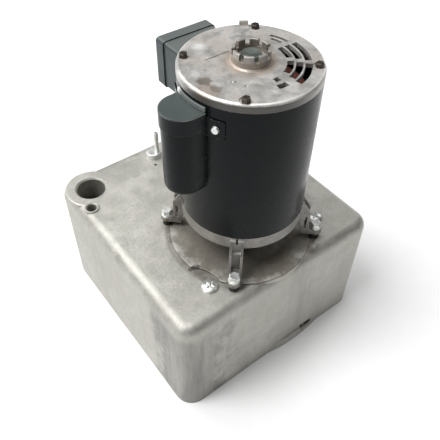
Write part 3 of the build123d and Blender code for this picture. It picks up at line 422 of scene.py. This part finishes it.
def paint(name, base, worn, rough, coat, gloss, dust_and_sheen=None, wear_and_highlights=None):
    """Sprayed paint with orange peel, chipped at its edges, with dust and a painted sheen on level faces
    where that colour is given, and with wear and painted highlights laid over where those are given.
    """
    material, tree, shader, coords = new_material(name)
    cloud = noise(tree, coords, 24, 4, 0.6)
    dust = remap(tree, noise(tree, coords, 160, 5, 0.7), 0.52, 0.75, 0.0, 0.30)
    colour = blend_colour(tree, dust, base, tuple(part * 1.6 + 0.006 for part in base))
    if dust_and_sheen:
        # dust with a painted sheen: level faces lightened towards the given colour
        top_dust_and_sheen = product(tree, facing_up(tree), remap(tree, cloud, 0.25, 0.70, 0.80, 1.0))
        colour = blend_colour(tree, top_dust_and_sheen, colour, dust_and_sheen)
    chips = product(tree, edge_mask(tree, 0.0007), remap(tree, noise(tree, coords, 260, 4), 0.50, 0.62))
    colour = blend_colour(tree, chips, colour, worn)
    if wear_and_highlights:
        colour = lay_over(tree, colour, wear_and_highlights(tree, coords, cloud))
    tree.links.new(colour, shader.inputs["Base Color"])
    tree.links.new(remap(tree, cloud, 0.3, 0.7, *rough), shader.inputs["Roughness"])
    shader.inputs["Specular IOR Level"].default_value = gloss
    shader.inputs["Coat Weight"].default_value = coat
    shader.inputs["Coat Roughness"].default_value = 0.12
    bump(tree, shader, noise(tree, coords, 420, 2, 0.5), 0.00010, 0.6)
    return material


def plated(name, light, dark, rough, tint=None, metallic=0.95):
    """Zinc plate, galvanised sheet or bare steel, with faint clouding and a directional grain."""
    material, tree, shader, coords = new_material(name)
    cloud = noise(tree, coords, 140, 4, 0.6)
    lines = noise(tree, coords, 700, 3, 0.6, (1.0, 1.0, 0.12))
    colour = blend_colour(tree, remap(tree, cloud, 0.35, 0.67), dark, light)
    if tint:
        patches = remap(tree, noise(tree, coords, 90, 3), 0.48, 0.66, 0.0, 0.6)
        colour = blend_colour(tree, patches, colour, tint)
    tree.links.new(colour, shader.inputs["Base Color"])
    tree.links.new(remap(tree, cloud, 0.3, 0.7, *rough), shader.inputs["Roughness"])
    shader.inputs["Metallic"].default_value = metallic
    bump(tree, shader, lines, 0.00006, 0.5)
    return material


def laminations(name):
    """Edges of stacked steel sheets, horizontal lines up the height."""
    material, tree, shader, coords = new_material(name)
    wave = tree.nodes.new("ShaderNodeTexWave")
    wave.bands_direction = "Z"
    wave.inputs["Scale"].default_value = 620
    wave.inputs["Distortion"].default_value = 0.3
    tree.links.new(coords, wave.inputs["Vector"])
    colour = blend_colour(tree, wave.outputs["Fac"], (0.18, 0.18, 0.18), (0.34, 0.34, 0.34))
    tree.links.new(colour, shader.inputs["Base Color"])
    shader.inputs["Metallic"].default_value = 0.6
    shader.inputs["Roughness"].default_value = 0.42
    bump(tree, shader, wave.outputs["Fac"], 0.0002, 0.6)
    return material


def soft(name, light, dark, scale, rough, depth):
    """Rubber, fibre, graphite and moulded plastics."""
    material, tree, shader, coords = new_material(name)
    grain = noise(tree, coords, scale, 5, 0.65)
    colour = blend_colour(tree, remap(tree, grain, 0.35, 0.68), dark, light)
    tree.links.new(colour, shader.inputs["Base Color"])
    shader.inputs["Roughness"].default_value = rough
    bump(tree, shader, grain, depth, 0.6)
    return material


def windings(name):
    """Varnished wire: fine ridges that run around the coil."""
    material, tree, shader, coords = new_material(name)
    wave = tree.nodes.new("ShaderNodeTexWave")
    wave.wave_type = "RINGS"
    wave.rings_direction = "Z"
    wave.inputs["Scale"].default_value = 260
    wave.inputs["Distortion"].default_value = 1.6
    tree.links.new(coords, wave.inputs["Vector"])
    colour = blend_colour(tree, wave.outputs["Fac"], (0.15, 0.040, 0.034), (0.42, 0.145, 0.115))
    tree.links.new(colour, shader.inputs["Base Color"])
    shader.inputs["Roughness"].default_value = 0.26
    bump(tree, shader, wave.outputs["Fac"], 0.0005, 0.8)
    return material


# record's material slot: maker of the material and its settings
recipes = {
    "cast_aluminium": (cast_aluminium, {}),
    "machined_aluminium": (turned_bell, {}),
    "dull_aluminium": (satin_aluminium, {
        "light": (0.33, 0.32, 0.30), "dark": (0.21, 0.20, 0.185), "rough": (0.44, 0.60),
    }),
    "aged_zinc": (satin_aluminium, {
        "light": (0.27, 0.305, 0.28), "dark": (0.20, 0.225, 0.21), "rough": (0.36, 0.50),
        "scale": 90, "stained": False,
    }),
    "worn_black_paint": (paint, {
        "base": (0.0045, 0.0065, 0.0075), "worn": (0.26, 0.27, 0.26), "rough": (0.26, 0.40),
        # the lid: dust with a painted sheen on its level top, wear and painted highlights at its rear lip
        # and top edge
        "coat": 0.04, "gloss": 0.14, "dust_and_sheen": (0.080, 0.098, 0.094), "wear_and_highlights": lid_wear_and_highlights,
    }),
    "black_paint": (paint, {
        "base": (0.0028, 0.0042, 0.0050), "worn": (0.20, 0.20, 0.19), "rough": (0.20, 0.32),
        "coat": 0.04, "gloss": 0.12,
    }),
    "grey_paint": (paint, {
        "base": (0.034, 0.048, 0.050), "worn": (0.32, 0.32, 0.31), "rough": (0.36, 0.50),
        # the box's level top: dust with a painted sheen
        "coat": 0.05, "gloss": 0.4, "dust_and_sheen": (0.135, 0.150, 0.146),
    }),
    "zinc_plate": (plated, {
        "light": (0.86, 0.87, 0.85), "dark": (0.72, 0.73, 0.71), "rough": (0.32, 0.46),
        "tint": (0.74, 0.76, 0.68), "metallic": 0.8,
    }),
    "galvanised_sheet": (plated, {
        "light": (0.62, 0.63, 0.63), "dark": (0.46, 0.47, 0.47), "rough": (0.32, 0.48),
    }),
    "impeller_steel": (plated, {
        "light": (0.46, 0.44, 0.41), "dark": (0.27, 0.25, 0.23), "rough": (0.34, 0.52),
        "tint": (0.30, 0.20, 0.13),
    }),
    "bright_steel": (plated, {
        "light": (0.78, 0.78, 0.77), "dark": (0.62, 0.62, 0.61), "rough": (0.14, 0.26),
    }),
    "lamination_steel": (laminations, {}),
    "enamel_wire": (windings, {}),
    "black_steel": (plated, {
        "light": (0.115, 0.098, 0.082), "dark": (0.055, 0.047, 0.040), "rough": (0.38, 0.54),
        "metallic": 0.7,
    }),
    "black_rubber": (soft, {
        "light": (0.035, 0.035, 0.034), "dark": (0.014, 0.014, 0.014),
        "scale": 700, "rough": 0.68, "depth": 0.00015,
    }),
    "fibre_board": (soft, {
        "light": (0.72, 0.70, 0.64), "dark": (0.52, 0.50, 0.45),
        "scale": 420, "rough": 0.92, "depth": 0.0005,
    }),
    "graphite": (soft, {
        "light": (0.13, 0.13, 0.13), "dark": (0.07, 0.07, 0.07),
        "scale": 900, "rough": 0.45, "depth": 0.0001,
    }),
    "phenolic": (soft, {
        "light": (0.11, 0.065, 0.042), "dark": (0.06, 0.035, 0.022),
        "scale": 520, "rough": 0.42, "depth": 0.0001,
    }),
}
materials = {slot: maker(slot, **settings) for slot, (maker, settings) in recipes.items()}

for part in frame["record"]["subparts"]:
    mesh = nodes[part["node"]].data
    mesh.materials.clear()
    mesh.materials.append(materials[part["material_slot"]])


# ---------------------------------------------------------------- floor, light and camera


floor_size = 12
world_strength = 0.07
light_target = Vector((0, 0.05, 0.2))


def floor_material():
    """Matt white paper."""
    material, tree, shader, coords = new_material("floor_white")
    grain = noise(tree, coords, 40, 3, 0.5)
    colour = blend_colour(tree, grain, (0.86, 0.86, 0.86), (0.89, 0.89, 0.89))
    tree.links.new(colour, shader.inputs["Base Color"])
    shader.inputs["Roughness"].default_value = 0.85
    return material


bpy.ops.mesh.primitive_plane_add(size=floor_size, location=(0, 0, cad_low[2]))
floor = bpy.context.object
floor.name = "floor"
floor.data.materials.append(floor_material())

camera_point = Vector((-0.27155, -0.30642, 0.60849))
camera_target = Vector((0.02508, 0.06827, 0.08894))
camera_roll = math.radians(1.392)

forward = (camera_target - camera_point).normalized()
level_right = forward.cross(Vector((0, 0, 1))).normalized()
level_up = level_right.cross(forward)
right = level_right * math.cos(camera_roll) + level_up * math.sin(camera_roll)
up = level_up * math.cos(camera_roll) - level_right * math.sin(camera_roll)

camera = bpy.data.objects.new("camera", bpy.data.cameras.new("camera"))
bpy.context.scene.collection.objects.link(camera)
camera.data.lens = 44.81
camera.data.sensor_width = 36
camera.data.clip_start = 0.01
camera.matrix_world = Matrix.Translation(camera_point) @ Matrix((right, up, -forward)).transposed().to_4x4()
bpy.context.scene.camera = camera


def sun(name, direction, energy, spread):
    """Broad soft light that falls evenly, from the given side."""
    lamp = bpy.data.objects.new(name, bpy.data.lights.new(name, "SUN"))
    lamp.data.energy = energy
    lamp.data.angle = math.radians(spread)
    lamp.rotation_euler = Vector(direction).to_track_quat("Z", "Y").to_euler()
    bpy.context.scene.collection.objects.link(lamp)


def softbox(name, place, size, power):
    """Rectangular lamp aimed at the middle of the fan."""
    lamp = bpy.data.objects.new(name, bpy.data.lights.new(name, "AREA"))
    lamp.data.shape = "RECTANGLE"
    lamp.data.size, lamp.data.size_y = size
    lamp.data.energy = power
    lamp.location = place
    lamp.rotation_euler = (light_target - Vector(place)).to_track_quat("-Z", "Y").to_euler()
    bpy.context.scene.collection.objects.link(lamp)


sun("key", direction=(-0.52, 0.22, 0.83), energy=2.4, spread=32)
sun("top", direction=(-0.05, 0.20, 0.97), energy=1.75, spread=60)
softbox("strip_left", place=(-0.5, 1.15, 0.7), size=(0.35, 1.3), power=4.0)
softbox("strip_right", place=(1.2, 0.3, 0.5), size=(0.25, 1.2), power=2.5)

world = bpy.data.worlds.new("studio")
world.use_nodes = True
world.node_tree.nodes["Background"].inputs["Color"].default_value = (1, 1, 1, 1)
world.node_tree.nodes["Background"].inputs["Strength"].default_value = world_strength
bpy.context.scene.world = world
bpy.context.scene.view_settings.view_transform = "Standard"
